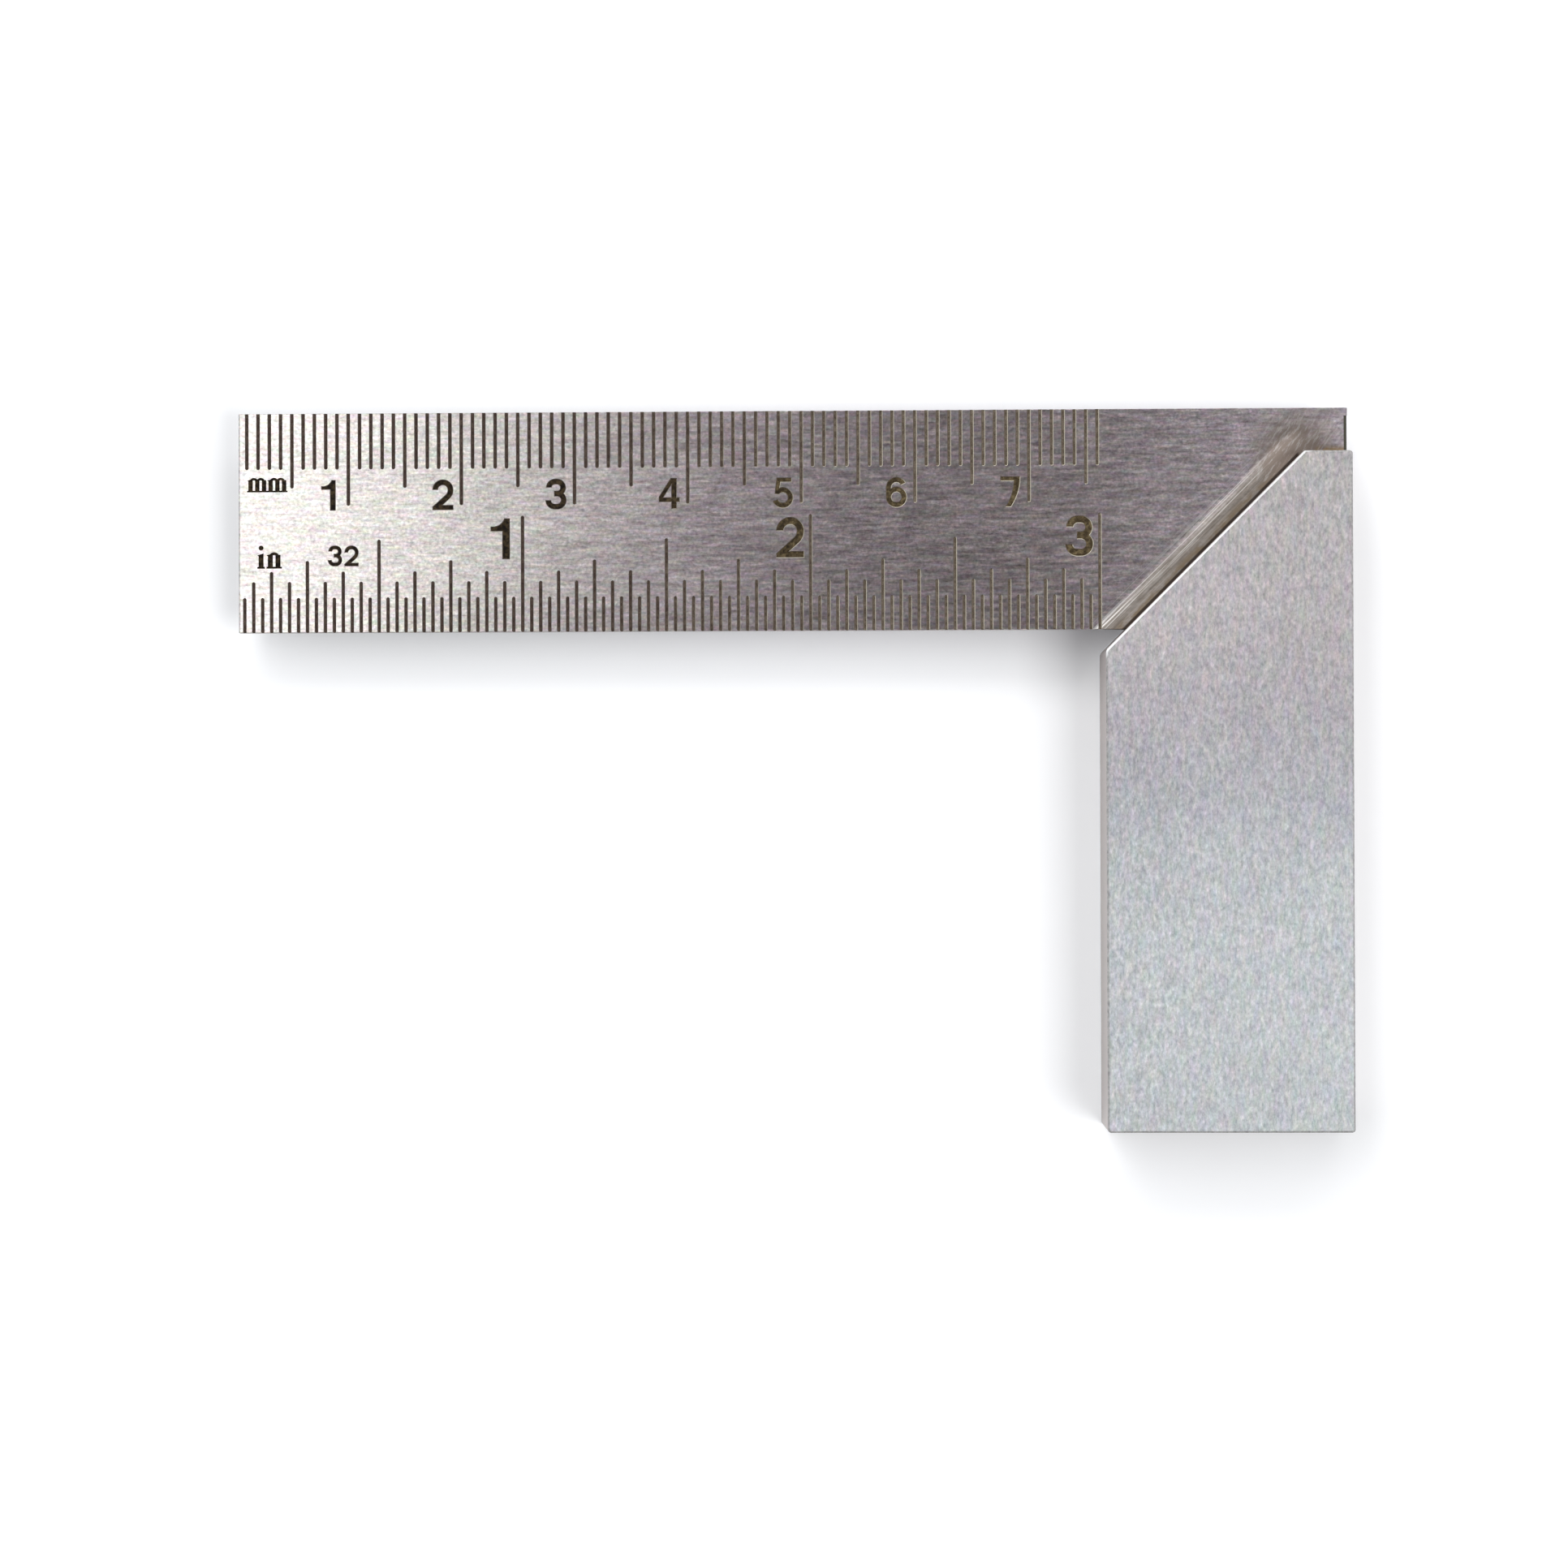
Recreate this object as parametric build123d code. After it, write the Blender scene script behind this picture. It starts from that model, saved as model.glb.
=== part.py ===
from build123d import *
import os
from math import cos, radians, sin, sqrt

os.makedirs("parts", exist_ok=True)

# Steel square ruler: a thin graduated blade soldered and pinned into the slot of a thick,
# mitred stock. Millimetres. The square lies on its stock: +X runs along the blade towards
# the stock, +Y points to the blade's outer (millimetre) edge, +Z is up, and the origin is
# the centre of the bounding box at the stock's lower face.

# ---- Overall ----
OVERALL_LENGTH = 97.6          # blade's free end to the stock's outer face
OVERALL_HEIGHT = 63.2          # blade's outer edge to the stock's foot

# ---- Blade ----
BLADE_WIDTH = 19.35
BLADE_THICKNESS = 1.0
BLADE_DEBURR = 0.04            # chamfer on every long and end edge of the blade
FREE_END_BEVEL = 0.15          # on the scale face, across the free end
SHOULDER_BEVEL = 0.3           # filed on the scale face where the blade's end meets the shoulder
SHOULDER_BEVEL_START = 0.7     # unbevelled length left at the outer corner

# ---- Stock ----
STOCK_WIDTH = 21.4
STOCK_THICKNESS = 8.0
SHOULDER_DROP = 4.1            # blade's outer edge stands this far above the stock's end
MITRE_LEG = 17.25              # 45 degree mitre, measured along either side
MITRE_FOOT_ROUND = 0.6         # rounding where the mitre meets the inner working face
CORNER_ROUND = 0.3             # the other upright corners
STOCK_CHAMFER = 0.17           # round both flat faces

# ---- Joint ----
SOLDER_GAP = 0.05              # filler thickness on each side of the blade and below it
PIN_DIAMETER = 2.0
PIN_SKIN = 1.5                 # metal left over the blind pins at the front face
PIN_INSET = 3.3                # pin centre to the stock's outer face and to the slot's root
PIN_PITCH = 7.6                # spacing of the pins along and across the blade

# ---- Etched marks ----
ETCH_DEPTH = 0.08
ETCH_INSET = 0.075             # a mark's walls lean in by this much on the way down to its floor
LABEL_ETCH_DEPTH = 0.06        # the small serif labels are shallower, with upright walls
FILL_THICKNESS = 0.015         # dark enamel left on the floor of a mark
SCALE_ZERO_OFFSET = 0.25       # both scales' zero lies this far beyond the blade's free end
EDGE_OVERRUN = 0.3             # a mark's cutter runs this far past the blade's edge
LINE_WIDTH_MM = 0.33
LINE_WIDTH_INCH = 0.32
LAST_MM = 76
LAST_INCH_32 = 96
INCH = 25.4
MM_MARK_LENGTHS = {10: 8.15, 5: 6.6, 1: 4.95}               # multiple of a millimetre: length
INCH_MARK_LENGTHS = {32: 10.25, 16: 8.2, 8: 6.35, 4: 5.4, 2: 4.5, 1: 3.1}   # multiple of 1/32
CM_NUMERAL_HEIGHT = 2.72
CM_NUMERAL_BASE = 8.58         # baseline below the blade's outer edge
CM_NUMERAL_GAP = 0.7           # from a numeral to the mark it names
INCH_NUMERAL_HEIGHT = 3.62
INCH_NUMERAL_BASE = 6.4        # baseline above the blade's inner edge
INCH_NUMERAL_GAP = 0.55

# ---- Places that follow from the dimensions above ----
LEFT = -OVERALL_LENGTH / 2
RIGHT = OVERALL_LENGTH / 2
BLADE_OUTER = OVERALL_HEIGHT / 2
BLADE_INNER = BLADE_OUTER - BLADE_WIDTH
STOCK_END = BLADE_OUTER - SHOULDER_DROP
STOCK_FOOT = -OVERALL_HEIGHT / 2
STOCK_INNER = RIGHT - STOCK_WIDTH
MITRE_TOP_X = STOCK_INNER + MITRE_LEG
MITRE_FOOT_Y = STOCK_END - MITRE_LEG
BLADE_BOTTOM_Z = (STOCK_THICKNESS - BLADE_THICKNESS) / 2
BLADE_TOP_Z = BLADE_BOTTOM_Z + BLADE_THICKNESS
SCALE_ZERO = LEFT - SCALE_ZERO_OFFSET


def slab(x_low, x_high, y_low, y_high, z_low, z_high):
    """A rectangular block between two corners."""
    size = (x_high - x_low, y_high - y_low, z_high - z_low)
    return Pos(x_low, y_low, z_low) * Box(*size, align=(Align.MIN, Align.MIN, Align.MIN))


# ---- Numerals and letters, drawn one unit high ----
STROKE = 0.19
DIGIT_WIDTH = 0.69
BOWL_TOP = 1 - STROKE / 2
BOWL_FOOT = STROKE / 2
PEN_LEFT = STROKE / 2
PEN_RIGHT = DIGIT_WIDTH - STROKE / 2


def route(start, heading, *moves):
    """Centre line of a stroke: each move is (length, 0) or (radius, turn in degrees)."""
    here = Vector(*start)
    along = Vector(cos(radians(heading)), sin(radians(heading)))
    path = []
    for reach, turn in moves:
        run = JernArc(here, along, reach, turn) if turn else Line(here, here + along * reach)
        here, along = run @ 1, run % 1
        path.append(run)
    return path


def pen(*route_words):
    """A stroke of the numerals' weight along a route."""
    return trace(Curve() + route(*route_words), STROKE)


def outline(*corners):
    """A flat face inside a closed run: points and arcs, in order, joined by straight edges."""
    edges = []
    ends = [(c @ 0, c @ 1) if isinstance(c, Edge) else (Vector(*c), Vector(*c)) for c in corners]
    for corner, (_, leave), (arrive, _) in zip(corners, ends, ends[1:] + ends[:1]):
        if isinstance(corner, Edge):
            edges.append(corner)
        if (arrive - leave).length > 1e-6:
            edges.append(Line(leave, arrive))
    return make_face(edges)


def digit_1():
    stem_left = 0.345
    stem_right = stem_left + STROKE
    flag_low, flag_high = 0.68, 0.80
    flag_tip = 0.06
    sweep_down = RadiusArc((stem_left + 0.05, 1), (0.13, flag_high), 0.30)
    return outline(sweep_down, (flag_tip, flag_high), (flag_tip, flag_low), (stem_left, flag_low),
                   (stem_left, 0), (stem_right, 0), (stem_right, 1))


def digit_2():
    radius = (PEN_RIGHT - PEN_LEFT) / 2
    bar_high = 0.17
    path = route((PEN_LEFT, BOWL_TOP - radius), 90, (radius, -180), (0.30, -48))
    end, slant = path[-1] @ 1, path[-1] % 1
    across = Vector(slant.Y, -slant.X) * STROKE / 2
    upper, lower = end + across, end - across
    meets_left = upper - slant * (upper.X / slant.X)
    meets_bar = lower - slant * ((lower.Y - bar_high) / slant.Y)
    foot = outline(upper, meets_left, (0, 0), (DIGIT_WIDTH, 0), (DIGIT_WIDTH, bar_high),
                   meets_bar, lower)
    return trace(Curve() + path, STROKE) + foot


def digit_3():
    waist = 0.515
    upper = (BOWL_TOP - waist) / 2
    lower = (waist - BOWL_FOOT) / 2
    top = pen((PEN_LEFT + 0.02, BOWL_TOP - upper), 90,
              (upper, -90), (0.07, 0), (upper, -180), (0.10, 0))
    foot = pen((PEN_RIGHT - lower - 0.10, waist), 0,
               (0.10, 0), (lower, -180), (0.08, 0), (lower, -90))
    return top + foot


def digit_4():
    stem_left, stem_right = 0.405, 0.595
    bar_low, bar_high = 0.215, 0.375
    body = outline((0, bar_low), (stem_left, bar_low), (stem_left, 0), (stem_right, 0),
                   (stem_right, bar_low), (DIGIT_WIDTH, bar_low), (DIGIT_WIDTH, bar_high),
                   (stem_right, bar_high), (stem_right, 1), (0.385, 1), (0, bar_high + 0.02))
    counter = outline((0.165, bar_high), (stem_left, bar_high), (stem_left, 0.755))
    return body - counter


def digit_5():
    radius = (PEN_RIGHT - PEN_LEFT) / 2
    centre = (PEN_LEFT + radius, BOWL_FOOT + radius)
    inner = CenterArc(centre, radius - STROKE / 2, 142, -305)
    outer = CenterArc(centre, radius + STROKE / 2, -163, 268)
    return outline((0.14, 1), (0.075, 0.455), inner, outer, (0.285, 0.84), (0.64, 0.84), (0.64, 1))


def digit_6():
    radius = (PEN_RIGHT - PEN_LEFT) / 2
    centre = (PEN_LEFT + radius, BOWL_FOOT + radius)
    bowl = Pos(*centre) * (Circle(radius + STROKE / 2) - Circle(radius - STROKE / 2))
    back = pen((PEN_LEFT, BOWL_FOOT + radius), 90,
               (BOWL_TOP - BOWL_FOOT - 2 * radius, 0), (radius, -155))
    return bowl + back


def digit_7():
    bar_low = 0.84
    left = RadiusArc((0.45, bar_low), (0.17, 0), 1.6)
    right = RadiusArc((0.37, 0), (0.67, bar_low), -1.7)
    return outline((0.02, 1), (0.02, bar_low), left, right, (0.67, 1))


DIGITS = {1: digit_1, 2: digit_2, 3: digit_3, 4: digit_4, 5: digit_5, 6: digit_6, 7: digit_7}
ARC_CORNERED = (5, 7)          # numerals where an arc meets a straight edge at a corner

# ---- Serif letters, drawn with an x-height of one unit ----
STEM = 0.33
STEM_PITCH = 0.50
SERIF = 0.12
SERIF_REACH = 0.09


def serif_letter(stems):
    """A lower-case letter of upright stems joined by arches: n has 2 stems and m has 3."""
    letter = outline((0, 0.86), (SERIF_REACH, 0.80), (SERIF_REACH + STEM, 0.80),
                     (SERIF_REACH + STEM, 1))
    for index in range(stems):
        left = SERIF_REACH + index * STEM_PITCH
        centre = left + STEM / 2
        letter += Pos(centre, 0.45) * Rectangle(STEM, 0.9)
        letter += Pos(centre, SERIF / 2) * Rectangle(STEM + 2 * SERIF_REACH, SERIF)
        if index:
            arch = ThreePointArc((centre - STEM_PITCH, 0.70),
                                 (centre - STEM_PITCH / 2 + STEM / 2, 0.91), (centre, 0.70))
            letter += trace(arch, STROKE)
    return letter


def letter_i():
    dot = Pos(SERIF_REACH + STEM / 2, 1.34) * Circle(0.16)
    return serif_letter(1) + dot


# ---- Marks: flat outlines on the blade's face ----
def placed(glyph, height, x, y):
    """A glyph scaled to its height, with its lower left corner at x, y."""
    return Pos(x, y) * scale(glyph, height)


def mark_length(count, lengths):
    """Length of the mark at a count, by the largest step that divides it."""
    return lengths[max(step for step in lengths if count % step == 0)]


def scale_marks(last, pitch, lengths, width, edge, inward):
    """Round-ended lines from the blade's edge inwards, one for each count of a scale."""
    marks = []
    for count in range(1, last + 1):
        reach = mark_length(count, lengths) + EDGE_OVERRUN
        middle = edge + inward * (reach / 2 - EDGE_OVERRUN)
        marks.append(Pos(SCALE_ZERO + count * pitch, middle) * SlotOverall(reach, width, 90))
    return marks


def numeral(number, pitch, height, gap, baseline):
    """A numeral whose cell ends just short of the mark that it names."""
    cell_left = SCALE_ZERO + number * pitch - gap - DIGIT_WIDTH * height
    return placed(DIGITS[number](), height, cell_left, baseline)


# ---- Cutters for the etched marks ----
def narrowed(wire, inset, corners):
    """A solid from a wire on the blade's face down to the same outline, drawn in, on the floor."""
    drawn_in = wire.offset_2d(-inset, kind=corners)
    return Solid.make_loft([wire, Pos(0, 0, -ETCH_DEPTH) * drawn_in], ruled=True)


def etched(flat, corners=Kind.INTERSECTION):
    """The cutter for one mark: full width at the blade's face, narrower at its floor."""
    face = Pos(0, 0, BLADE_TOP_Z) * flat.faces()[0]
    cutter = narrowed(face.outer_wire(), ETCH_INSET, corners)
    for island in face.inner_wires():
        cutter -= narrowed(island, -ETCH_INSET, corners)
    return cutter


def etched_numeral(number, *place):
    corners = Kind.TANGENT if number in ARC_CORNERED else Kind.INTERSECTION
    return etched(numeral(number, *place), corners)


def etched_labels():
    """The units named at the free end, mm and in, in shallow serif letters."""
    mm_height, mm_base = 1.2, BLADE_OUTER - 6.92
    in_height, in_base = 1.36, BLADE_INNER + 5.68
    letters = [
        placed(serif_letter(3), mm_height, SCALE_ZERO + 1.02, mm_base),
        placed(serif_letter(3), mm_height, SCALE_ZERO + 2.80, mm_base),
        placed(letter_i(), in_height, SCALE_ZERO + 1.90, in_base),
        placed(serif_letter(2), in_height, SCALE_ZERO + 2.72, in_base),
    ]
    faces = [face for letter in letters for face in letter.faces()]
    return [extrude(Pos(0, 0, BLADE_TOP_Z) * face, -LABEL_ETCH_DEPTH) for face in faces]


def smallest_division_label():
    """The 32 that names the inch scale's smallest division."""
    height, baseline = 1.85, BLADE_INNER + 5.85
    places = ((digit_3, 8.16), (digit_2, 9.62))
    return [etched(placed(digit(), height, SCALE_ZERO + x, baseline)) for digit, x in places]


def enamel(cutters, depth):
    """The thin dark fill on the floors of a group of marks."""
    floor = BLADE_TOP_Z - depth
    layer = slab(LEFT, RIGHT, BLADE_INNER, BLADE_OUTER, floor, floor + FILL_THICKNESS)
    return [solid for cutter in cutters for solid in (cutter & layer).solids()]


# ---- Blade, stock and what joins them ----
def pin_cutter(x, y):
    """A blind pin's full length, from the stock's back face."""
    length = STOCK_THICKNESS - PIN_SKIN
    return Pos(x, y, 0) * Cylinder(PIN_DIAMETER / 2, length,
                                   align=(Align.CENTER, Align.CENTER, Align.MIN))


def bevel_cutter(x, y_low, y_high, size):
    """A square bar on edge, which takes a 45 degree bevel off the blade's scale face."""
    bar = Box(size * sqrt(2), y_high - y_low, size * sqrt(2))
    return Pos(x, (y_low + y_high) / 2, BLADE_TOP_Z) * Rot(0, 45, 0) * bar


def make_blade(cutters):
    blade = slab(LEFT, RIGHT, BLADE_INNER, BLADE_OUTER, BLADE_BOTTOM_Z, BLADE_TOP_Z)
    blade = chamfer(blade.edges(), BLADE_DEBURR)
    bevels = [
        bevel_cutter(LEFT, BLADE_INNER - 1, BLADE_OUTER + 1, FREE_END_BEVEL),
        bevel_cutter(RIGHT, STOCK_END, BLADE_OUTER - SHOULDER_BEVEL_START, SHOULDER_BEVEL),
    ]
    return blade - bevels - cutters


def make_stock_blank():
    """The mitred bar before it is chamfered and slotted."""
    profile = outline((STOCK_INNER, STOCK_FOOT), (RIGHT, STOCK_FOOT), (RIGHT, STOCK_END),
                      (MITRE_TOP_X, STOCK_END), (STOCK_INNER, MITRE_FOOT_Y))
    by_distance = profile.vertices().sort_by_distance((STOCK_INNER, MITRE_FOOT_Y))
    profile = fillet(by_distance[1:], CORNER_ROUND)
    mitre_foot = profile.vertices().sort_by_distance((STOCK_INNER, MITRE_FOOT_Y))[0]
    return extrude(fillet(mitre_foot, MITRE_FOOT_ROUND), STOCK_THICKNESS)


def make_slot(grow):
    """The space of the slot: the blade's thickness and root, grown by the filler's gap."""
    return slab(STOCK_INNER - 1, RIGHT + 1, BLADE_INNER - grow, STOCK_END + 1,
                BLADE_BOTTOM_Z - grow, BLADE_TOP_Z + grow)


pin_x = RIGHT - PIN_INSET
pin_y = BLADE_INNER + PIN_INSET
PINS = [pin_cutter(pin_x, pin_y),
        pin_cutter(pin_x, pin_y + PIN_PITCH),
        pin_cutter(pin_x - PIN_PITCH, pin_y)]

mm_lines = [etched(mark) for mark in
            scale_marks(LAST_MM, 1, MM_MARK_LENGTHS, LINE_WIDTH_MM, BLADE_OUTER, -1)]
inch_lines = [etched(mark) for mark in
              scale_marks(LAST_INCH_32, INCH / 32, INCH_MARK_LENGTHS, LINE_WIDTH_INCH,
                          BLADE_INNER, 1)]
cm_numerals = [etched_numeral(number, 10, CM_NUMERAL_HEIGHT, CM_NUMERAL_GAP,
                              BLADE_OUTER - CM_NUMERAL_BASE)
               for number in range(1, 8)]
inch_numerals = [etched_numeral(number, INCH, INCH_NUMERAL_HEIGHT, INCH_NUMERAL_GAP,
                                BLADE_INNER + INCH_NUMERAL_BASE)
                 for number in range(1, 4)]
inch_numerals += smallest_division_label()
labels = etched_labels()

blank = make_stock_blank()
flat_edges = blank.faces().sort_by(Axis.Z)[0].edges() + blank.faces().sort_by(Axis.Z)[-1].edges()
stock = chamfer(flat_edges, STOCK_CHAMFER) - make_slot(SOLDER_GAP) - PINS
blade = make_blade(mm_lines + inch_lines + cm_numerals + inch_numerals + labels + PINS)
solder = (blank & make_slot(SOLDER_GAP)) - blade - PINS

NODES = {
    "blade": [blade],
    "stock": [stock],
    "solder_film": [solder],
    "mm_line_fill": enamel(mm_lines, ETCH_DEPTH),
    "inch_line_fill": enamel(inch_lines, ETCH_DEPTH),
    "cm_numeral_fill": enamel(cm_numerals, ETCH_DEPTH),
    "inch_numeral_fill": enamel(inch_numerals, ETCH_DEPTH),
    "unit_label_fill": enamel(labels, LABEL_ETCH_DEPTH),
}
for index, pin in enumerate(PINS, start=1):
    NODES[f"blade_pin_{index}"] = [pin]

for name, shapes in NODES.items():
    solids = [solid for shape in shapes for solid in shape.solids()]
    export_step(solids[0] if len(solids) == 1 else Compound(solids), f"parts/{name}.step")
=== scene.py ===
import math

import bpy
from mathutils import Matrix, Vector


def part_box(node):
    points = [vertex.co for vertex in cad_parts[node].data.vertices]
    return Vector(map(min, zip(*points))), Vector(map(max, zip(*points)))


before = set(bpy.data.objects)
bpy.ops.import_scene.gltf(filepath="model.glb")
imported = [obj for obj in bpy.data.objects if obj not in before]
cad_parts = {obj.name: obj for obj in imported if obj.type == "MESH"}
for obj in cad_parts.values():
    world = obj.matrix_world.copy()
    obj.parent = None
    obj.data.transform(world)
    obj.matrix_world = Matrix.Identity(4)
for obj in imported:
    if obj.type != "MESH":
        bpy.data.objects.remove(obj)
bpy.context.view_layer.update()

MM = 0.001

# ---- Where the joint is, from the CAD nodes' boxes ----
BLADE_LOW, BLADE_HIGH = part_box("blade")
STOCK_LOW, STOCK_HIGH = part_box("stock")
MITRE_LEG = 17.25 * MM
MITRE_POINT = Vector((STOCK_LOW.x, STOCK_HIGH.y - MITRE_LEG, 0))
ACROSS_MITRE = Vector((-1, 1, 0)).normalized()      # away from the stock, along the blade's face
ALONG_MITRE = Vector((1, 1, 0)).normalized()
ALONG_BLADE, UP_BLADE, FACE_UP = Vector((1, 0, 0)), Vector((0, 1, 0)), Vector((0, 0, 1))
AWAY_FROM_LIGHT = Vector((0.8, -0.6, 0))          # walls of the marks facing this way are painted dark as shade, the others pale as a highlight
MITRE_ANGLE = math.radians(45)
MITRE_LENGTH = MITRE_LEG * math.sqrt(2)
SCRATCH_ANGLE = math.radians(14)                    # stray scratches, off the brushing's direction
SWIRL_ANGLE = math.radians(58)                      # rubbing marks round the mitre's top corner
JOINT_BAND = 2.0 * MM                               # scuffed strip of blade beside the mitre


class Look:
    """One procedural material: a Principled shader and the nodes that feed it."""

    def __init__(self, name):
        self.material = bpy.data.materials.new(name)
        self.material.use_nodes = True
        self.tree = self.material.node_tree
        self.shader = self.tree.nodes["Principled BSDF"]
        coordinates = self.tree.nodes.new("ShaderNodeTexCoord")
        self.place = coordinates.outputs["Object"]
        self.generated = coordinates.outputs["Generated"]
        self.normal = self.tree.nodes.new("ShaderNodeNewGeometry").outputs["Normal"]

    def feed(self, socket, value):
        if isinstance(value, bpy.types.NodeSocket):
            self.tree.links.new(value, socket)
        else:
            socket.default_value = value

    def surface(self, **values):
        """Sets the shader's inputs: base_color=..., roughness=..., and so on."""
        for key, value in values.items():
            name = key.replace("_", " ").title().replace("Ior", "IOR")
            self.feed(self.shader.inputs[name], value)

    def maths(self, operation, first, second=0.0):
        made = self.tree.nodes.new("ShaderNodeMath")
        made.operation = operation
        self.feed(made.inputs[0], first)
        self.feed(made.inputs[1], second)
        return made.outputs[0]

    def dot(self, vector, direction):
        made = self.tree.nodes.new("ShaderNodeVectorMath")
        made.operation = "DOT_PRODUCT"
        self.feed(made.inputs[0], vector)
        made.inputs[1].default_value = direction
        return made.outputs["Value"]

    def distance(self, origin, direction):
        """How far a point of the surface lies from a plane, in metres."""
        return self.maths("SUBTRACT", self.dot(self.place, direction), origin.dot(direction))

    def radius(self, point):
        """How far a point of the surface lies from another point, in metres."""
        made = self.tree.nodes.new("ShaderNodeVectorMath")
        made.operation = "DISTANCE"
        self.feed(made.inputs[0], self.place)
        made.inputs[1].default_value = point
        return made.outputs["Value"]

    def ease(self, value, start, end, low=0.0, high=1.0):
        """low before start, high after end, smooth between; start may be the greater."""
        made = self.tree.nodes.new("ShaderNodeMapRange")
        made.interpolation_type = "SMOOTHSTEP"
        self.feed(made.inputs["Value"], value)
        if start > end:
            start, end, low, high = end, start, high, low
        for name, number in zip(("From Min", "From Max", "To Min", "To Max"),
                                (start, end, low, high)):
            made.inputs[name].default_value = number
        return made.outputs["Result"]

    def grain(self, size, detail=3.0, rough=0.55, turn=0.0, shift=0.0):
        """Noise with features of the given size in metres along x, y and z, turned about z."""
        turned = self.tree.nodes.new("ShaderNodeMapping")
        turned.vector_type = "POINT"
        self.feed(turned.inputs["Vector"], self.place)
        turned.inputs["Rotation"].default_value = (0, 0, -turn)
        scaled = self.tree.nodes.new("ShaderNodeMapping")
        self.feed(scaled.inputs["Vector"], turned.outputs[0])
        scaled.inputs["Location"].default_value = (shift, shift * 1.7, shift * 0.6)
        scaled.inputs["Scale"].default_value = [1 / length for length in size]
        made = self.tree.nodes.new("ShaderNodeTexNoise")
        self.feed(made.inputs["Vector"], scaled.outputs[0])
        made.inputs["Scale"].default_value = 1.0
        made.inputs["Detail"].default_value = detail
        made.inputs["Roughness"].default_value = rough
        return made

    def mix(self, factor, first, second, blend="MIX"):
        """One colour over another; 6, 7 and 2 are the node's colour sockets."""
        made = self.tree.nodes.new("ShaderNodeMix")
        made.data_type, made.blend_type = "RGBA", blend
        self.feed(made.inputs["Factor"], factor)
        self.feed(made.inputs[6], first)
        self.feed(made.inputs[7], second)
        return made.outputs[2]

    def blend_number(self, factor, first, second):
        """One number or the other, by factor."""
        made = self.tree.nodes.new("ShaderNodeMix")
        made.data_type = "FLOAT"
        self.feed(made.inputs[0], factor)
        self.feed(made.inputs[2], first)
        self.feed(made.inputs[3], second)
        return made.outputs[0]

    def blend_vector(self, factor, first, second):
        """One vector or the other, by factor; 4, 5 and 1 are the node's vector sockets."""
        made = self.tree.nodes.new("ShaderNodeMix")
        made.data_type = "VECTOR"
        self.feed(made.inputs[0], factor)
        made.inputs[4].default_value = first
        made.inputs[5].default_value = second
        return made.outputs[1]

    def stops(self, value, *stops):
        """A colour ramp: each stop is (position, (r, g, b))."""
        made = self.tree.nodes.new("ShaderNodeValToRGB")
        self.feed(made.inputs["Fac"], value)
        elements = made.color_ramp.elements
        while len(elements) < len(stops):
            elements.new(0.5)
        for element, (position, colour) in zip(elements, stops):
            element.position = position
            element.color = (*colour, 1)
        return made.outputs["Color"]

    def shade(self, colour, value, spread):
        """colour made darker or lighter by a noise value, by up to about spread."""
        return self.scaled(colour, self.ease_line(value, 1 - spread, 1 + spread))

    def scaled(self, colour, gain):
        """colour times a number."""
        made = self.tree.nodes.new("ShaderNodeVectorMath")
        made.operation = "SCALE"
        self.feed(made.inputs[0], colour)
        self.feed(made.inputs["Scale"], gain)
        return made.outputs[0]

    def ease_line(self, value, low, high, start=0.25, end=0.75):
        """A straight-line map; a noise value mostly lies between 0.25 and 0.75."""
        made = self.tree.nodes.new("ShaderNodeMapRange")
        made.clamp = False
        self.feed(made.inputs["Value"], value)
        for name, number in zip(("From Min", "From Max", "To Min", "To Max"),
                                (start, end, low, high)):
            made.inputs[name].default_value = number
        return made.outputs["Result"]

    def hues(self, colour, noise, strength):
        """A faint drift of hue over the colour, from a noise node's own colours."""
        doubled = self.tree.nodes.new("ShaderNodeVectorMath")
        doubled.operation = "MULTIPLY_ADD"
        self.feed(doubled.inputs[0], noise.outputs["Color"])
        doubled.inputs[1].default_value = (strength * 2,) * 3
        doubled.inputs[2].default_value = (1 - strength,) * 3
        return self.mix(1.0, colour, doubled.outputs[0], "MULTIPLY")

    def bump(self, height, depth, strength):
        """Relief of the given depth in metres, for the shader's normal."""
        made = self.tree.nodes.new("ShaderNodeBump")
        made.inputs["Strength"].default_value = strength
        made.inputs["Distance"].default_value = depth
        self.feed(made.inputs["Height"], height)
        self.feed(self.shader.inputs["Normal"], made.outputs[0])


# ---- Materials ----
BARE_STEEL = (                              # along the blade, from its free end
    (0.22, (0.475, 0.450, 0.432)),
    (0.45, (0.490, 0.426, 0.446)),
    (0.70, (0.474, 0.408, 0.422)),
    (1.00, (0.520, 0.466, 0.500)),
)


def towards_stock(look):
    """0 near the free end, rising unevenly to 1 towards the stock, where the marks are coloured
    lighter.
    """
    along = look.distance(BLADE_LOW, ALONG_BLADE)
    patches = look.grain((1.2 * MM, 1.2 * MM, 1.2 * MM), 3.0, 0.6, shift=51).outputs["Fac"]
    shifted = look.maths("ADD", along, look.ease_line(patches, -10 * MM, 10 * MM))
    return look.ease(shifted, 27 * MM, 64 * MM)


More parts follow.
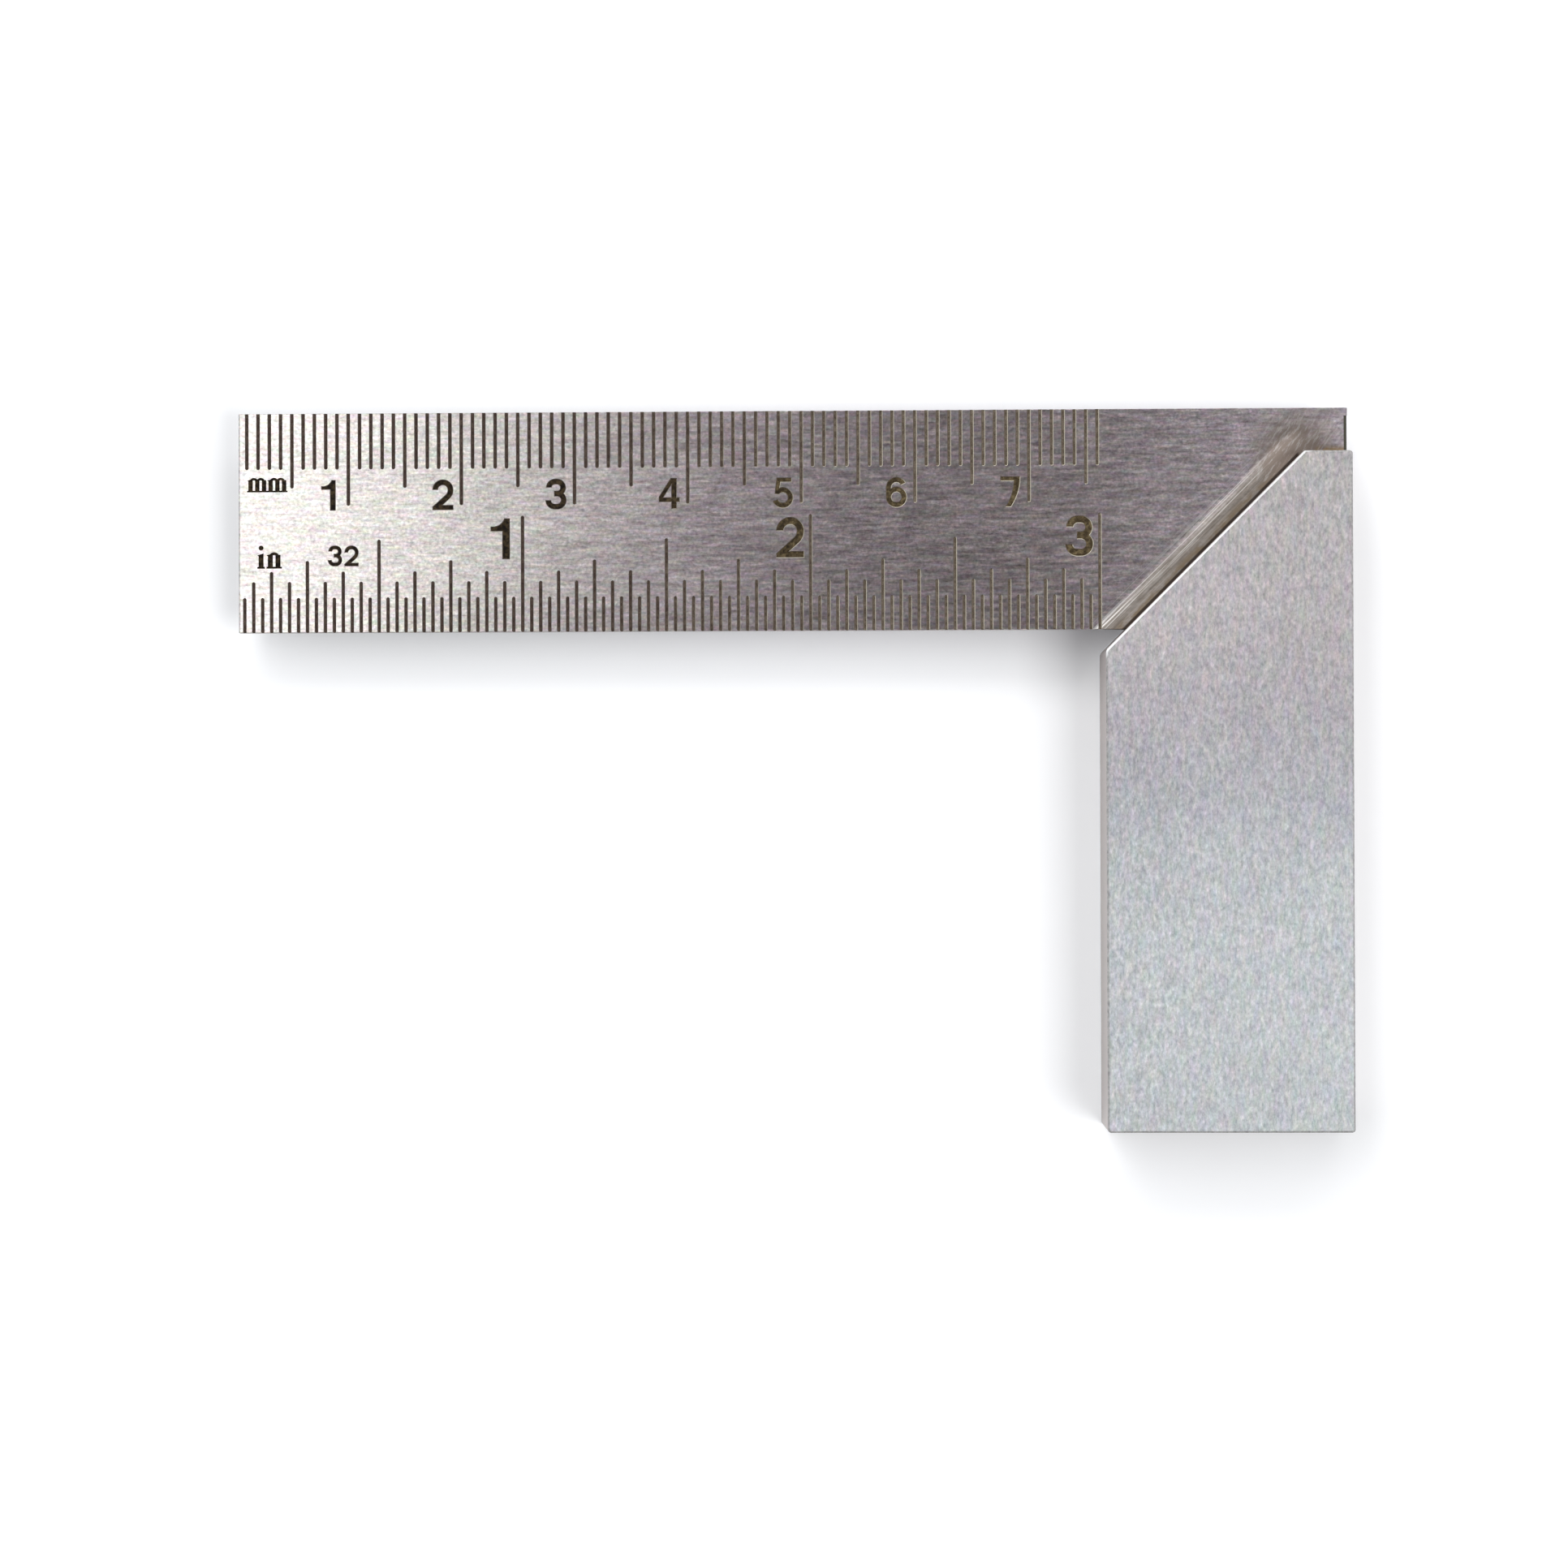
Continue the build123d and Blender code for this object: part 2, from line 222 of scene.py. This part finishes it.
def brushed_steel(look, long_streaks, fine_streaks):
    """The blade's own colour: streaks along it, and slanting scratches nearer the stock."""
    mottle = look.grain((0.28 * MM, 0.28 * MM, 0.28 * MM), 2.0, 0.6, shift=8).outputs["Fac"]
    clouds = look.grain((7 * MM, 4 * MM, 4 * MM), 3.0, 0.5, shift=11).outputs["Fac"]
    hue_flecks = look.grain((1.0 * MM, 0.35 * MM, 0.35 * MM), 3.0, 0.6, shift=17)
    scratches = look.grain((1.1 * MM, 0.34 * MM, 0.34 * MM), 3.0, 0.6, SCRATCH_ANGLE, 29)

    along = look.distance(BLADE_LOW, ALONG_BLADE)
    steel = look.stops(look.maths("DIVIDE", along, BLADE_HIGH.x - BLADE_LOW.x), *BARE_STEEL)
    steel = look.shade(steel, long_streaks, 0.26)
    steel = look.shade(steel, fine_streaks, 0.22)
    steel = look.shade(steel, mottle, 0.30)
    steel = look.shade(steel, clouds, 0.06)
    steel = look.hues(steel, hue_flecks, 0.24)
    scratched = look.shade(steel, scratches.outputs["Fac"], 0.19)
    steel = look.mix(look.ease(along, 48 * MM, 74 * MM), steel, scratched)

    edge_on = look.ease(look.maths("ABSOLUTE", look.dot(look.normal, FACE_UP)), 0.5, 0.2, 0.0, 0.8)
    return look.mix(edge_on, steel, (0.46, 0.43, 0.415, 1))


def scuffed_joint(look, steel, fine_streaks, hairs, residue):
    """Beside the mitre the blade was cleaned up after soldering, with strokes along the joint.

    Gives back the colour, and how far each point lies in the scuffed strip.
    """
    from_mitre = look.distance(MITRE_POINT, ACROSS_MITRE)
    up_mitre = look.distance(MITRE_POINT, ALONG_MITRE)
    fading = look.ease(up_mitre, MITRE_LENGTH + 2.0 * MM, MITRE_LENGTH - 2.0 * MM)
    ragged = look.grain((6 * MM, 0.4 * MM, 1 * MM), 3.0, 0.6, MITRE_ANGLE, 3).outputs["Fac"]
    reach = look.maths("ADD", from_mitre, look.ease_line(ragged, -0.2 * MM, 0.2 * MM))
    band = look.maths("MULTIPLY", look.ease(reach, JOINT_BAND + 0.3 * MM, JOINT_BAND - 0.5 * MM),
                      fading)

    scuffed = look.mix(look.ease(residue, 0.35, 0.65), (0.245, 0.215, 0.187, 1),
                       (0.325, 0.296, 0.270, 1))
    scuffed = look.shade(scuffed, hairs, 0.30)
    scuffed = look.shade(scuffed, fine_streaks, 0.12)
    # Painted reflection: a warm brown strip beside the mitre, where the shaded mitre wall is
    # mirrored, broken up by the residue noise.
    mitre_wall_reflection = look.maths("MULTIPLY", look.ease(from_mitre, 1.0 * MM, 0.3 * MM),
                         look.ease(residue, 0.62, 0.42, 0.0, 0.7))
    scuffed = look.mix(mitre_wall_reflection, scuffed, (0.235, 0.175, 0.105, 1))
    colour = look.mix(band, steel, scuffed)

    strokes = look.grain((11 * MM, 0.12 * MM, 0.3 * MM), 1.0, 0.5, MITRE_ANGLE, 23).outputs["Fac"]
    stroked = look.maths("MULTIPLY", look.ease(reach, 1.1 * MM, 1.4 * MM),
                         look.ease(reach, 3.0 * MM, 2.2 * MM))
    stroked = look.maths("MULTIPLY", stroked, fading)
    bright = look.maths("MULTIPLY", look.ease(strokes, 0.53, 0.62), stroked)
    bright = look.maths("MULTIPLY", bright, look.ease(up_mitre, 7 * MM, 0.0, 0.5, 0.95))
    return look.mix(bright, colour, (0.84, 0.82, 0.80, 1)), band


def worn_corner(look, colour, residue):
    """Round the mitre's top corner: a darker patch with rubbing marks, and flux stain by the end.
    """
    past_end = look.distance(BLADE_HIGH, ALONG_BLADE)
    from_corner = look.radius(Vector((MITRE_POINT.x + MITRE_LEG, STOCK_HIGH.y, BLADE_HIGH.z)))
    uneven = look.maths("ADD", from_corner, look.ease_line(residue, -1.2 * MM, 1.2 * MM))
    darker_round_corner = look.maths("MULTIPLY", look.ease(uneven, 5.5 * MM, 1.5 * MM, 0.0, 0.95),
                        look.ease(past_end, -0.4 * MM, -2.8 * MM, 0.35, 1.0))
    colour = look.mix(darker_round_corner, colour, (0.290, 0.238, 0.205, 1))
    swirl = look.grain((1.1 * MM, 0.22 * MM, 1 * MM), 3.0, 0.65, SWIRL_ANGLE, 37).outputs["Fac"]
    rubbed = look.maths("MULTIPLY", look.ease(swirl, 0.50, 0.66),
                        look.ease(from_corner, 7 * MM, 3 * MM, 0.0, 0.45))
    colour = look.mix(rubbed, colour, (0.66, 0.63, 0.61, 1))

    stain = look.maths("MULTIPLY",
                       look.ease(look.distance(STOCK_HIGH, UP_BLADE), 0.9 * MM, 0.2 * MM),
                       look.ease(look.distance(STOCK_HIGH, ALONG_BLADE), -3.4 * MM, -2.0 * MM))
    stain = look.maths("MULTIPLY", stain, look.ease(look.dot(look.normal, FACE_UP), 0.5, 0.8))
    return look.mix(look.maths("MULTIPLY", stain, look.ease(residue, 0.40, 0.55)),
                    colour, (0.46, 0.30, 0.12, 1))


def dark_edges(look, colour):
    """A near-black line along the joint, partly dark solder and partly painted crevice shadow, and
    the bevel of the blade's end above the stock, painted near-black as a reflection of its dark
    surroundings.
    """
    from_mitre = look.distance(MITRE_POINT, ACROSS_MITRE)
    up_mitre = look.distance(MITRE_POINT, ALONG_MITRE)
    on_blade = look.ease(up_mitre, MITRE_LENGTH + 0.2 * MM, MITRE_LENGTH - 0.2 * MM)
    # Painted crevice shadow: a near-black line on the blade along the mitre, partly dark solder.
    shadow_and_solder_line = look.maths("MULTIPLY", look.ease(from_mitre, 0.32 * MM, 0.18 * MM), on_blade)
    colour = look.mix(look.maths("MULTIPLY", shadow_and_solder_line, 0.93), colour, (0.035, 0.026, 0.022, 1))
    # Painted reflection: the bevel of the blade's end above the stock is painted near-black, as
    # the dark surroundings it mirrors.
    endways = look.dot(look.normal, ALONG_BLADE)
    dark_reflected_bevel = look.maths("MULTIPLY", look.ease(endways, 0.4, 0.6), look.ease(endways, 0.95, 0.85))
    above_stock = look.maths("GREATER_THAN", look.distance(STOCK_HIGH, UP_BLADE), 0.0)
    return look.mix(look.maths("MULTIPLY", dark_reflected_bevel, above_stock), colour,
                    (0.060, 0.056, 0.042, 1))


def etched_walls(look):
    """1 on the sloped walls of the marks, which lie inside the blade's edges, and 0 elsewhere."""
    etched = look.ease(look.dot(look.normal, FACE_UP), 0.93, 0.85)
    for axis, margin in ((UP_BLADE, 0.055 * MM), (ALONG_BLADE, 0.35 * MM)):
        past_low = look.maths("GREATER_THAN", look.distance(BLADE_LOW, axis), margin)
        short_of_high = look.maths("LESS_THAN", look.distance(BLADE_HIGH, axis), -margin)
        etched = look.maths("MULTIPLY", etched, look.maths("MULTIPLY", past_low, short_of_high))
    near_face = look.maths("GREATER_THAN", look.distance(BLADE_HIGH, FACE_UP), -0.2 * MM)
    return look.maths("MULTIPLY", etched, near_face)


def wall_colour(look):
    """Enamelled walls, dark near the free end; towards the stock, walls facing away from the light
    are painted dark as shade and walls facing it are painted pale as a highlight.
    """
    frosted = look.grain((0.08 * MM,) * 3, 2.0, 0.5, shift=41).outputs["Fac"]
    # Painted light: walls facing away from the light get painted shade, walls facing it a painted
    # highlight.
    shaded_side = look.ease(look.dot(look.normal, AWAY_FROM_LIGHT), -0.25, 0.35)
    lit_and_shaded_wall = look.mix(shaded_side, (0.50, 0.46, 0.37, 1), (0.115, 0.090, 0.070, 1))
    wall = look.mix(towards_stock(look), (0.085, 0.066, 0.054, 1), lit_and_shaded_wall)
    return look.shade(wall, frosted, 0.25)


def brushed_blade():
    """Blade steel, brushed along its length, with matte etched walls and a scuffed joint."""
    look = Look("blade_steel")
    long_streaks = look.grain((2.2 * MM, 0.29 * MM, 0.29 * MM), 3.0, 0.6).outputs["Fac"]
    fine_streaks = look.grain((0.5 * MM, 0.22 * MM, 0.22 * MM), 3.0, 0.6, shift=5).outputs["Fac"]
    hairs = look.grain((9 * MM, 0.10 * MM, 0.1 * MM), 2.0, 0.6, MITRE_ANGLE, 27).outputs["Fac"]
    residue = look.grain((1.6 * MM, 0.6 * MM, 1 * MM), 4.0, 0.6, MITRE_ANGLE, 31).outputs["Fac"]

    colour = brushed_steel(look, long_streaks, fine_streaks)
    colour, band = scuffed_joint(look, colour, fine_streaks, hairs, residue)
    colour = worn_corner(look, colour, residue)
    colour = dark_edges(look, colour)
    etched = etched_walls(look)
    colour = look.mix(etched, colour, wall_colour(look))

    roughness = look.ease_line(long_streaks, 0.30, 0.38)
    roughness = look.blend_number(band, roughness, look.ease_line(hairs, 0.34, 0.44))
    roughness = look.blend_number(etched, roughness, 0.60)
    look.surface(base_color=colour, metallic=look.maths("SUBTRACT", 1.0, etched),
                 roughness=roughness, anisotropic=0.8)
    look.feed(look.shader.inputs["Tangent"], look.blend_vector(band, (0, 1, 1), (-1, 1, 1)))
    relief = look.blend_number(band, look.maths("ADD", long_streaks, fine_streaks),
                               look.maths("MULTIPLY", hairs, 2.0))
    look.bump(relief, 0.002 * MM, 0.6)
    return look.material


def plated_stock():
    """Dull zinc plating over a drawn bar: a fine mottled grain with a faint play of colour."""
    look = Look("plated_steel")
    drawn = look.grain((0.26 * MM, 0.70 * MM, 0.70 * MM), 3.0, 0.62)
    specks = look.grain((0.23 * MM, 0.36 * MM, 0.36 * MM), 2.0, 0.6, shift=7).outputs["Fac"]
    clouds = look.grain((7 * MM, 9 * MM, 9 * MM), 3.0, 0.5, shift=13).outputs["Fac"]
    hue_patches = look.grain((0.7 * MM, 2.2 * MM, 2.2 * MM), 3.0, 0.6, shift=19)

    # Painted reflection: the face's tone along its height copies what lies overhead, darkest
    # across the middle where the camera is mirrored, with a faint tint.
    height = look.ease_line(look.dot(look.place, (0, 1, 0)), 0.0, 1.0,
                            STOCK_LOW.y, STOCK_HIGH.y)
    tone = look.stops(height,
                      (0.00, (0.450, 0.467, 0.482)),
                      (0.30, (0.475, 0.490, 0.507)),
                      (0.40, (0.455, 0.466, 0.485)),
                      (0.48, (0.415, 0.419, 0.445)),
                      (0.60, (0.408, 0.392, 0.416)),
                      (0.75, (0.452, 0.427, 0.440)),
                      (1.00, (0.462, 0.440, 0.443)))
    # Painted light: the face is painted lighter towards its left side and darker towards its
    # right.
    tone = look.scaled(tone, look.ease_line(look.dot(look.place, ALONG_BLADE), 1.02, 0.93,
                                            STOCK_LOW.x, STOCK_HIGH.x))
    colour = look.shade(tone, drawn.outputs["Fac"], 0.245)
    colour = look.shade(colour, specks, 0.19)
    colour = look.shade(colour, clouds, 0.04)
    colour = look.hues(colour, hue_patches, 0.13)
    colour = look.hues(colour, drawn, 0.10)

    # The mitre's chamfer is polished and painted near-white, partly as a painted highlight that is
    # strongest at its lower end; the right-facing chamfers are painted darker as shade, the others
    # are softer, and the sides are plain.
    upright = look.maths("ABSOLUTE", look.dot(look.normal, FACE_UP))
    chamfer = look.maths("MULTIPLY", look.ease(upright, 0.35, 0.6), look.ease(upright, 0.95, 0.8))
    at_mitre = look.ease(look.distance(MITRE_POINT, ACROSS_MITRE), -0.6 * MM, -0.3 * MM)
    right_facing_shaded = look.ease(look.dot(look.normal, ALONG_BLADE), 0.3, 0.6)
    side = look.ease(upright, 0.3, 0.1)
    colour = look.mix(look.maths("MULTIPLY", side, 0.8), colour, (0.49, 0.44, 0.415, 1))
    # Painted shade: the chamfers facing right are painted darker than the others.
    edge_tone = look.mix(right_facing_shaded, (0.46, 0.445, 0.43, 1), (0.37, 0.36, 0.355, 1))
    colour = look.mix(look.maths("MULTIPLY", chamfer, 0.8), colour,
                      look.shade(edge_tone, specks, 0.35))
    polished_and_highlit = look.maths("MULTIPLY", chamfer, at_mitre)
    # Painted highlight: the mitre's chamfer is painted near-white, strongest towards its lower
    # end.
    highlight_fading_up = look.ease(look.distance(MITRE_POINT, ALONG_MITRE), 20 * MM, 6 * MM, 0.6, 1.0)
    colour = look.mix(look.maths("MULTIPLY", polished_and_highlit, highlight_fading_up), colour, (0.92, 0.91, 0.90, 1))

    roughness = look.ease_line(drawn.outputs["Fac"], 0.46, 0.56)
    roughness = look.blend_number(polished_and_highlit, roughness, 0.34)
    look.surface(base_color=colour, metallic=1.0, roughness=roughness)
    relief = look.maths("ADD", drawn.outputs["Fac"], look.maths("MULTIPLY", specks, 0.5))
    look.bump(relief, 0.012 * MM, 0.5)
    return look.material


def solder_metal():
    """Dull solder with a grainy skin and brown flux residue."""
    look = Look("solder")
    grains = look.grain((0.25 * MM,) * 3, 4.0, 0.6).outputs["Fac"]
    flux = look.grain((1.5 * MM,) * 3, 3.0, 0.6, shift=3).outputs["Fac"]
    colour = look.mix(look.ease(flux, 0.42, 0.62), (0.50, 0.48, 0.44, 1), (0.24, 0.17, 0.10, 1))
    look.surface(base_color=look.shade(colour, grains, 0.25), metallic=1.0,
                 roughness=look.ease_line(grains, 0.42, 0.62))
    look.bump(grains, 0.02 * MM, 0.6)
    return look.material


def turned_pin():
    """Bare pin steel, faced off flush, with rings from the file and the lathe."""
    look = Look("pin_steel")
    centred = look.tree.nodes.new("ShaderNodeVectorMath")
    centred.operation = "SUBTRACT"
    look.feed(centred.inputs[0], look.generated)
    centred.inputs[1].default_value = (0.5, 0.5, 0)
    rings = look.tree.nodes.new("ShaderNodeTexWave")
    rings.wave_type, rings.rings_direction = "RINGS", "Z"
    look.feed(rings.inputs["Vector"], centred.outputs[0])
    rings.inputs["Scale"].default_value = 7.0
    rings.inputs["Distortion"].default_value = 1.5
    rings.inputs["Detail"].default_value = 3.0
    flecks = look.grain((0.5 * MM, 0.08 * MM, 0.1 * MM), 3.0, 0.6, math.radians(20)).outputs["Fac"]
    colour = look.shade((0.52, 0.50, 0.47), rings.outputs["Fac"], 0.12)
    look.surface(base_color=look.shade(colour, flecks, 0.12), metallic=1.0,
                 roughness=look.ease_line(flecks, 0.30, 0.42))
    look.bump(rings.outputs["Fac"], 0.01 * MM, 0.5)
    return look.material


def mark_enamel(name, fresh, rubbed):
    """Thin enamel on the floors of the etched marks: one pair of colours near the free end, a
    lighter, more olive pair towards the stock; each pair is mixed in patches.
    """
    look = Look(name)
    cover = look.grain((0.45 * MM,) * 3, 4.0, 0.65).outputs["Fac"]
    specks = look.grain((0.12 * MM,) * 3, 2.0, 0.5, shift=9).outputs["Fac"]
    patchy = look.ease(cover, 0.38, 0.68)
    colour = look.mix(towards_stock(look), look.mix(patchy, *fresh), look.mix(patchy, *rubbed))
    look.surface(base_color=look.shade(colour, specks, 0.35), metallic=0.0,
                 roughness=look.ease_line(cover, 0.55, 0.70), specular_ior_level=0.05)
    look.bump(look.maths("ADD", cover, specks), 0.01 * MM, 0.6)
    return look.material


MATERIALS = {
    "blade_steel": brushed_blade(),
    "plated_steel": plated_stock(),
    "solder": solder_metal(),
    "pin_steel": turned_pin(),
    "line_enamel": mark_enamel("line_enamel",
                               ((0.040, 0.027, 0.022, 1), (0.075, 0.054, 0.043, 1)),
                               ((0.084, 0.066, 0.048, 1), (0.145, 0.120, 0.092, 1))),
    "numeral_enamel": mark_enamel("numeral_enamel",
                                  ((0.007, 0.005, 0.004, 1), (0.048, 0.033, 0.017, 1)),
                                  ((0.042, 0.030, 0.016, 1), (0.130, 0.098, 0.052, 1))),
}
SLOT_OF_NODE = {
    "blade": "blade_steel",
    "stock": "plated_steel",
    "solder_film": "solder",
    "mm_line_fill": "line_enamel",
    "inch_line_fill": "line_enamel",
}
for name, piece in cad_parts.items():
    default = "pin_steel" if name.startswith("blade_pin") else "numeral_enamel"
    finish = MATERIALS[SLOT_OF_NODE.get(name, default)]
    for material_slot in piece.material_slots:
        material_slot.link = "OBJECT"
        material_slot.material = finish


# ---- Studio: pale floor, soft overhead panels, faint glow round the horizon ----
FLOOR_SIZE = 10.0
FLOOR_GLOW = 0.06                           # the floor is a faint light table, as for cut-outs
PANEL_HEIGHT = 0.5
PANELS = {                                  # left, right, front and back edges, radiance
    "left_softbox": (-0.30, -0.10, -0.12, 0.45, 3.1),
    "left_softbox_skirt": (-0.10, -0.05, 0.0, 0.45, 0.85),
    "right_softbox_skirt": (0.05, 0.15, 0.0, 0.45, 0.22),
    "right_softbox": (0.15, 0.50, -0.35, 0.0, 4.8),
    "back_softbox": (-0.50, 0.50, 0.45, 0.85, 3.0),
}
GLOWS = {                                   # direction, where it fades in and is full, strength
    "horizon": ((0, 0, 1), (0.75, 0.30), 0.30),
    "left_back": ((-0.665, 0.665, 0.34), (0.55, 0.95), 1.17),
    "right": ((0.94, 0.0, 0.34), (0.55, 0.95), 0.95),
}


def pale_floor():
    bpy.ops.mesh.primitive_plane_add(size=FLOOR_SIZE, location=(0, 0, 0))
    floor = bpy.context.object
    floor.name = "studio_floor"
    look = Look("studio_floor")
    clouds = look.grain((0.3, 0.3, 0.3), 2.0, 0.5).outputs["Fac"]
    look.surface(base_color=look.shade((0.94, 0.94, 0.95), clouds, 0.01), roughness=0.9,
                 specular_ior_level=0.1, emission_color=(0.86, 0.93, 1.0, 1),
                 emission_strength=FLOOR_GLOW)
    floor.data.materials.append(look.material)


def soft_panel(name, centre, size, radiance):
    """A level rectangle of even light, facing down."""
    light = bpy.data.lights.new(name, "AREA")
    light.shape = "RECTANGLE"
    light.size, light.size_y = size
    light.energy = radiance * math.pi * size[0] * size[1]
    holder = bpy.data.objects.new(name, light)
    holder.location = (*centre, PANEL_HEIGHT)
    bpy.context.scene.collection.objects.link(holder)


def overhead_panels():
    for name, (left, right, front, back, radiance) in PANELS.items():
        soft_panel(name, ((left + right) / 2, (front + back) / 2), (right - left, back - front),
                   radiance)


def surround():
    """A dark room with soft glows low down: behind to the left, and to the right."""
    world = bpy.data.worlds.new("studio")
    bpy.context.scene.world = world
    world.use_nodes = True
    tree = world.node_tree
    direction = tree.nodes.new("ShaderNodeTexCoord").outputs["Generated"]

    def glow(towards, fade, strength):
        along = tree.nodes.new("ShaderNodeVectorMath")
        along.operation = "DOT_PRODUCT"
        tree.links.new(direction, along.inputs[0])
        along.inputs[1].default_value = towards
        level = tree.nodes.new("ShaderNodeMapRange")
        level.interpolation_type = "SMOOTHSTEP"
        tree.links.new(along.outputs["Value"], level.inputs["Value"])
        rising = fade[1] > fade[0]
        level.inputs["From Min"].default_value = min(fade)
        level.inputs["From Max"].default_value = max(fade)
        level.inputs["To Min"].default_value = 0.0 if rising else strength
        level.inputs["To Max"].default_value = strength if rising else 0.0
        return level.outputs["Result"]

    total = None
    for towards, fade, strength in GLOWS.values():
        added = glow(towards, fade, strength)
        if total is not None:
            both = tree.nodes.new("ShaderNodeMath")
            both.operation = "ADD"
            tree.links.new(total, both.inputs[0])
            tree.links.new(added, both.inputs[1])
            added = both.outputs[0]
        total = added
    tree.links.new(total, tree.nodes["Background"].inputs["Strength"])
    tree.nodes["Background"].inputs["Color"].default_value = (0.95, 0.975, 1.0, 1)


pale_floor()
overhead_panels()
surround()
bpy.context.scene.view_settings.view_transform = "Standard"


# ---- Camera: almost straight above, a little to the right of the blade's middle ----
CAMERA_PLACE = (6.363 * MM, -3.148 * MM, 293.52 * MM)
CAMERA_TURN = (0.0066, 0.0243, -0.0034)
FOCAL_LENGTH_MM = 75.47

camera_data = bpy.data.cameras.new("camera")
camera_data.lens = FOCAL_LENGTH_MM
camera_data.sensor_width = 36.0
camera_data.clip_start = 0.01
camera = bpy.data.objects.new("camera", camera_data)
camera.location = CAMERA_PLACE
camera.rotation_mode = "ZYX"
camera.rotation_euler = CAMERA_TURN
bpy.context.scene.collection.objects.link(camera)
bpy.context.scene.camera = camera
